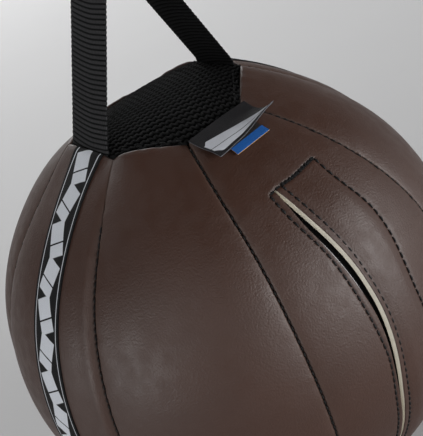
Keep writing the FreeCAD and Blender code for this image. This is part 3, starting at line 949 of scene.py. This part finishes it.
def make_top_cap(cloth):
    """Arched cap, with a notch at each side where the handle's webbing comes up."""
    pulled_corner = CORNER_REACH + HANDLE_LIFT * math.sin(CAP_POLAR)
    x, y, inside = cap_grid(
        pulled_corner * math.cos(HALF_PANEL) + 0.1, CORNER_REACH * math.sin(HALF_PANEL) + 0.3,
        pulled_corner * math.sin(HALF_PANEL) + 0.3, CORNER_REACH * math.cos(HALF_PANEL) + 0.1,
        notch_x=STRAP_ROOT - 1.5,
    )
    relief = 1.6 * (1.0 - weave_height(x, y)[0]) * smooth(0.0, 0.3, inside)
    level = cap_level(x, y)
    make_cap("top_cap", (x, y), level - edge_roll(1.1, inside) - relief, level - 2.0, cloth)


def make_cap_stitches(thread):
    """Stitches that hold the top cap, sunk in its cloth just inside the edge, but not under the
    handle's roots or the label."""
    from_edge, sunk = 2.6, 0.9
    reach = crown_radius(CAP_POLAR) * math.sin(CAP_POLAR - from_edge / EQUATOR)
    shares = np.linspace(0.06, 0.94, 9)
    pieces = []
    for side in (1, 2, 3, 5, 7):
        start, end = ((side - 0.5) * 2.0 * HALF_PANEL, (side + 0.5) * 2.0 * HALF_PANEL)
        x = reach * (math.cos(start) + (math.cos(end) - math.cos(start)) * shares)
        y = reach * (math.sin(start) + (math.sin(end) - math.sin(start)) * shares)
        pieces += stitches(np.stack([x, y, cap_level(x, y) - sunk], axis=-1), 0.4, 0.5)
    sew("top_cap_stitches", pieces, thread, ["top_cap_thread"], "shell")


def make_bottom_cap(cloth):
    """Flat cap that the ball stands on, with its weave facing the floor."""
    long_x, short_x = CAP_APOTHEM, CAP_APOTHEM * math.tan(HALF_PANEL)
    x, y, inside = cap_grid(long_x, short_x, short_x, long_x)
    relief = 0.6 * (1.0 - weave_height(x, y)[0]) * smooth(0.0, 0.8, inside)
    make_cap("bottom_cap", (x, y), edge_roll(0.7, inside) + relief, np.full_like(x, 1.55), cloth)


# ---- handle ----
LOOP_MEET = (5.7, 221.5)         # where the straight legs would meet, x and height above the centre
LOOP_BEND = 11.0
TAIL_BEND, FOOT_BEND = 1.6, 3.0
ROOT_BEND = 124.6
RIB_PITCH = 2.33


def rounded_path(corners, radii, step):
    """Points at even steps along straight runs whose corners are arcs."""
    corners = [np.array(corner, float) for corner in corners]
    pieces = [corners[:1]]
    for before, corner, after, radius in zip(corners[:-2], corners[1:-1], corners[2:], radii):
        arrive, leave = unit(corner - before), unit(after - corner)
        turn = math.acos(arrive @ leave)
        start = corner - arrive * radius * math.tan(0.5 * turn)
        side = math.copysign(1.0, arrive[0] * leave[1] - arrive[1] * leave[0])
        inward = side * np.array([-arrive[1], arrive[0]])
        bends = np.linspace(0.0, turn, 24)[:, None]
        pieces.append(start + radius * ((1.0 - np.cos(bends)) * inward + np.sin(bends) * arrive))
    points = np.concatenate(pieces + [corners[-1:]])
    lengths = np.concatenate([[0.0], np.cumsum(np.linalg.norm(np.diff(points, axis=0), axis=1))])
    wanted = np.linspace(0.0, lengths[-1], int(lengths[-1] / step) + 1)
    return wanted, np.stack([np.interp(wanted, lengths, line) for line in points.T], axis=-1)


def strap_path():
    """Middle line of the webbing, from tail to tail."""
    corners = [
        (-TAIL_INNER, TAIL_HEIGHT), (-STRAP_ROOT, TAIL_HEIGHT), (-STRAP_ROOT, ROOT_BEND), LOOP_MEET,
        (STRAP_ROOT, ROOT_BEND), (STRAP_ROOT, TAIL_HEIGHT), (TAIL_INNER, TAIL_HEIGHT),
    ]
    bends = (TAIL_BEND, FOOT_BEND, LOOP_BEND, FOOT_BEND, TAIL_BEND)
    return rounded_path(corners, bends, RIB_PITCH / 5.0)


def make_strap(webbing, inside):
    """The whole handle: tails under the cap, roots, legs and the top of the loop."""
    rib_depth, yarn_height, thickness_half, pinch, trim = 0.55, 0.07, 1.05, 0.017, 0.02
    run, places = strap_path()
    tangent = unit(np.gradient(places, axis=0))
    shares = mirrored((0.0, 0.17, 0.34, 0.5, 0.64, 0.76, 0.86, 0.93, 0.97, 0.99, 1.0))
    across = 1.03 * STRAP_HALF * shares
    slant = 4.0 * np.clip((across + 5.0) / 20.0, 0.0, None) ** 1.5
    rib = (run[:, None] - slant) / RIB_PITCH
    ridge = np.abs(np.sin(math.pi * rib)) ** 0.7
    wide = across * (1.0 - pinch * (1.0 - ridge) * np.abs(shares) ** 6) - trim
    half = thickness_half * np.sqrt(np.clip(1.0 - np.abs(shares) ** 9, 0.02, None))
    weft = np.where(np.floor(rib) % 2 > 0, 1.0, -1.0)
    yarn = yarn_height * np.sin(TURN * across / WARP_PITCH) * weft
    faces = []
    for side in (1.0, -1.0):
        off = side * (half - rib_depth * (1.0 - ridge) * np.minimum(1.0, half) + side * yarn * ridge)
        x = places[:, :1] - tangent[:, 1:] * off
        z = places[:, 1:] + tangent[:, :1] * off + CENTRE_Z
        faces.append(np.stack([x, wide, z], axis=-1))
    values = {"across": np.broadcast_to(across, rib.shape), "rib": rib}
    obj = sheet("handle_webbing", faces[0], faces[1], values=values, smooth_angle=80.0)
    nodes = ["handle_loop", "handle_root_left", "handle_root_right"]
    # inside is the darker copy of the webbing material for its inner faces, painted shade
    finish_piece(obj, [webbing, inside], nodes)
    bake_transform(obj)


# ---- side tapes ----
def make_tape(name, under, bow, tape):
    """Flat tape on the middle of a side panel, following its surface and slightly bowed."""
    half_width, thickness, gap, deepest = 10.0, 0.62, 0.04, 0.9
    azimuth = math.radians(PANELS[under])
    bottom_height = mm_box(name)[0][2] - CENTRE_Z + 0.5
    radius = crown_radius(0.0)
    first = FIRST_ROW + 0.3 / EQUATOR
    rows = np.linspace(first, math.acos(bottom_height / radius), 210)[:, None]
    shares = mirrored((0.0, 0.2, 0.4, 0.6, 0.76, 0.88, 0.95, 0.99, 1.0))
    across = half_width * shares
    middle = bow * (1.12 - (radius * np.cos(rows) / 120.0) ** 2)
    sideways = math.cos(azimuth) * (across + middle)
    angle = np.arcsin(np.clip(sideways / EQUATOR, -1.0, 1.0))
    polar, across = (np.broadcast_to(values, angle.shape) for values in (rows, across))
    leather, _ = leather_depth(under, polar, angle)
    rolled = np.minimum(leather, deepest)
    puff = 0.12 * np.cos(0.5 * math.pi * shares) + 0.06 * np.sin(TURN * across / 5.0)
    stitch_line = 0.16 * np.exp(-((np.abs(across) - 8.0) / 0.45) ** 2)
    outer = panel_points(azimuth, polar, angle, rolled - thickness - puff + stitch_line)
    inner = panel_points(azimuth, polar, angle, rolled - gap)
    values = {"along": EQUATOR * (polar - first), "across": across}
    obj = sheet(name + "_woven", outer, inner, values=values)
    finish_piece(obj, [tape, tape], [name], "shell")


# ---- label and tag ----
def flap(name, node, body, depth, thickness, tilt, skew, rise, materials):
    """Thin cloth flap that leaves the cap's seam; rise bends it up or down, and skew slants its ends."""
    low, high = (corner[0] for corner in mm_box(node))
    start, near = 1.4, np.array((0.0, 0.1, 0.3))
    rows = np.unique(np.concatenate([np.linspace(start, depth, 44), depth - near]))[:, None]
    x, rows = np.broadcast_arrays(np.linspace(low, high, 72)[None, :], rows)
    up = rise(x, rows)
    y = FLAP_Y - rows * math.cos(tilt) + up * math.sin(tilt)
    z = FLAP_Z + rows * math.sin(tilt) + up * math.cos(tilt)
    to_edge = np.minimum(np.minimum(x - low, high - x), depth - rows)
    half = 0.5 * thickness * (0.35 + 0.65 * smooth(0.0, 0.35, to_edge))
    slanted = x + skew * smooth(0.0, high, x) + 2.0 * skew * smooth(0.0, -low, -x) * rows / depth
    outer, inner = (np.stack([slanted, y, z + off], axis=-1) for off in (half, -half))
    obj = sheet(name, outer, inner, values={"along": x, "depth": rows}, smooth_angle=60.0)
    finish_piece(obj, materials, [node], body)


def make_label(cloth, edge):
    """Label that leaves the seam low, bellies along the ball and lifts its right corner."""
    length, lift, tilt = 20.6, 0.55, math.radians(-20.0)

    def rise(x, depth):
        share = depth / length
        corner = 7.5 * smooth(-4.0, 20.0, x) * share ** 4
        low = -1.3 * (1.0 - smooth(7.0, 17.0, depth))
        droop = -1.4 * smooth(2.0, 18.0, -x) * share
        belly = -1.3 * smooth(4.0, 18.0, x) * np.sin(math.pi * share)
        root = -0.5 * smooth(2.0, 18.0, x) * (1.0 - smooth(0.0, 0.7, share))
        return corner + low + droop + belly + root + lift

    flap("woven_label_cloth", "woven_label", "label", length, 0.8, tilt, 1.0, rise,
         [cloth, edge])


def make_tag(ribbon, back):
    """Short ribbon that lies flatter than the label above it."""
    length, lift, tilt = 24.8, -1.75, math.radians(-22.0)

    def rise(_, depth):
        return lift + smooth(6.0, 20.0, depth) - 0.6 * (depth / length) ** 2

    flap("side_tag_ribbon", "side_tag", "tag", length, 0.5, tilt, -1.0, rise,
         [ribbon, back])


# ---- CAD nodes that keep their shape ----
def dress(material, slot, *nodes):
    for node in nodes:
        obj = frame["nodes"][node]
        obj.data.materials.clear()
        obj.data.materials.append(material)


# ---- floor, lights and camera ----
def make_floor():
    """Round pale floor, as far as the lights reach."""
    reach, sides = 2600.0, 96
    turns = [TURN * side / sides for side in range(sides)]
    points = [(reach * math.cos(turn), reach * math.sin(turn), 0.0) for turn in turns]
    floor = add_object("floor", points, [list(range(sides))])
    floor.data.materials.append(floor_material())


LIGHT_DISTANCE = 2.8
# name, azimuth (0 stands in front, -Y, and 90 at the right, +X), elevation, width, height, watts
LIGHTS = (
    ("front_right", 25.0, 8.0, 1.9, 1.0, 47.0),
    ("front", 0.0, 12.0, 1.9, 1.0, 19.0),
    ("right", 48.0, 14.0, 1.9, 1.0, 18.6),
    ("left", -60.0, 35.0, 1.3, 1.3, 11.2),
    ("low_left", -90.0, 7.0, 1.9, 0.7, 28.2),
    ("back", 180.0, 40.0, 1.6, 1.3, 24.3),
    ("back_right", 150.0, 25.0, 1.6, 1.3, 29.5),
)


def direction(azimuth, elevation):
    """Unit vector towards a light or the camera, from angles in degrees."""
    turn, rise = math.radians(azimuth), math.radians(elevation)
    return Vector((math.sin(turn) * math.cos(rise), -math.cos(turn) * math.cos(rise), math.sin(rise)))


def make_lights():
    """Soft rectangular lights, all facing the ball."""
    for name, azimuth, elevation, width, height, watts in LIGHTS:
        away = direction(azimuth, elevation)
        light = bpy.data.lights.new(name, "AREA")
        light.shape = "RECTANGLE"
        light.size, light.size_y = width, height
        light.energy = watts
        obj = put_in_scene(name, light)
        obj.location = Vector(CENTRE * MM) + away * LIGHT_DISTANCE
        obj.rotation_mode = "QUATERNION"
        obj.rotation_quaternion = away.to_track_quat("Z", "Y")


def make_world():
    """Dim above and bright near the horizon, as in a studio with lit walls and a dark ceiling."""
    world = bpy.data.worlds.new("studio")
    bpy.context.scene.world = world
    world.use_nodes = True
    nodes, links = world.node_tree.nodes, world.node_tree.links
    place = nodes.new("ShaderNodeTexCoord")
    split = nodes.new("ShaderNodeSeparateXYZ")
    fade = nodes.new("ShaderNodeFloatCurve")
    curve = fade.mapping.curves[0]
    curve.points[0].location = (0.0, 0.236)
    curve.points[1].location = (1.0, 0.016)
    curve.points.new(0.25, 0.067)
    fade.mapping.update()
    links.new(place.outputs["Generated"], split.inputs[0])
    links.new(split.outputs["Z"], fade.inputs["Value"])
    links.new(fade.outputs["Value"], nodes["Background"].inputs["Strength"])
    nodes["Background"].inputs["Color"].default_value = (1.0, 1.0, 1.0, 1.0)


def make_camera():
    """Camera in front at the left and above, aimed a little off the ball's centre and rolled."""
    azimuth, elevation, roll = -31.03, 34.46, math.radians(-22.61)
    aim_right, aim_up = 0.0085, 0.0813
    distance, lens = 3.876 * EQUATOR, 70.9
    back = direction(azimuth, elevation)
    right = (-back).cross(Vector((0.0, 0.0, 1.0))).normalized()
    up = right.cross(-back)
    ahead = (-back + aim_right * right + aim_up * up).normalized()
    level = ahead.cross(up).normalized()
    top = level.cross(ahead)
    side = math.cos(roll) * level + math.sin(roll) * top
    over = math.cos(roll) * top - math.sin(roll) * level
    data = bpy.data.cameras.new("camera")
    data.lens, data.sensor_width = lens, 36.0
    data.clip_start, data.clip_end = 0.01, 100.0
    camera = put_in_scene("camera", data)
    turn = Matrix((side, over, -ahead)).transposed()
    place = Vector(CENTRE * MM) + back * distance * MM
    camera.matrix_world = Matrix.Translation(place) @ turn.to_4x4()
    bpy.context.scene.camera = camera


# ---- build ----
leather = leather_material()
foam = foam_material()
cap_cloth = cap_material()
tape_cloth = tape_material()
label_edge = thread_material("label_cut_edge", (0.03, 0.03, 0.035), (0.16, 0.17, 0.19))
thread = thread_material("thread", grey(0.0015, 1.07), grey(0.006, 1.08))
canvas = cloth_material("canvas", grey(0.07), grey(0.13), 1.4)
fuzzy = cloth_material("hook_and_loop", grey(0.001), grey(0.006, 1.08), 0.9, 0.95)
liner_cloth = cloth_material("liner_cloth", (0.45, 0.44, 0.40), (0.60, 0.59, 0.55), 0.9)
wadding = cloth_material("textile_wadding", (0.28, 0.28, 0.29), (0.55, 0.53, 0.50), 6.0, 0.95)
sand = cloth_material("sand", (0.42, 0.33, 0.22), (0.66, 0.55, 0.40), 0.7, 0.95)

for panel in PANELS:
    if panel != "panel_port":
        make_panel(panel, leather, foam)
make_port_panel(leather, foam)
for lip_side in LIP_SIDES:
    blend_lip(make_lip(lip_side, leather, foam))
make_port_stitches(thread)
make_seam_stitches(thread)
make_top_cap(cap_cloth)
make_cap_stitches(thread)
make_bottom_cap(cap_cloth)
# the darker copy for the webbing's inside faces is painted shade
make_strap(strap_material("strap_webbing", 1.0), strap_material("strap_webbing_painted_shade", 0.35))
make_tape("side_tape_left", "panel_strap_left", -12.0, tape_cloth)
make_tape("side_tape_right", "panel_strap_right", 4.0, tape_cloth)
make_label(label_material(), label_edge)
make_tag(tag_material(), tag_back_material())
dress(thread, "thread", "bottom_cap_thread", "root_bartacks")
dress(canvas, "canvas", "top_reinforcement", "bottom_reinforcement", "port_underflap")
dress(fuzzy, "hook_and_loop", "hook_tape", "loop_tape")
dress(liner_cloth, "liner_cloth", "inner_liner", "core_bag")
dress(wadding, "textile_wadding", "textile_filling")
dress(sand, "sand", "core_sand")
make_floor()
make_world()
make_lights()
make_camera()
bpy.context.scene.view_settings.view_transform = "Standard"
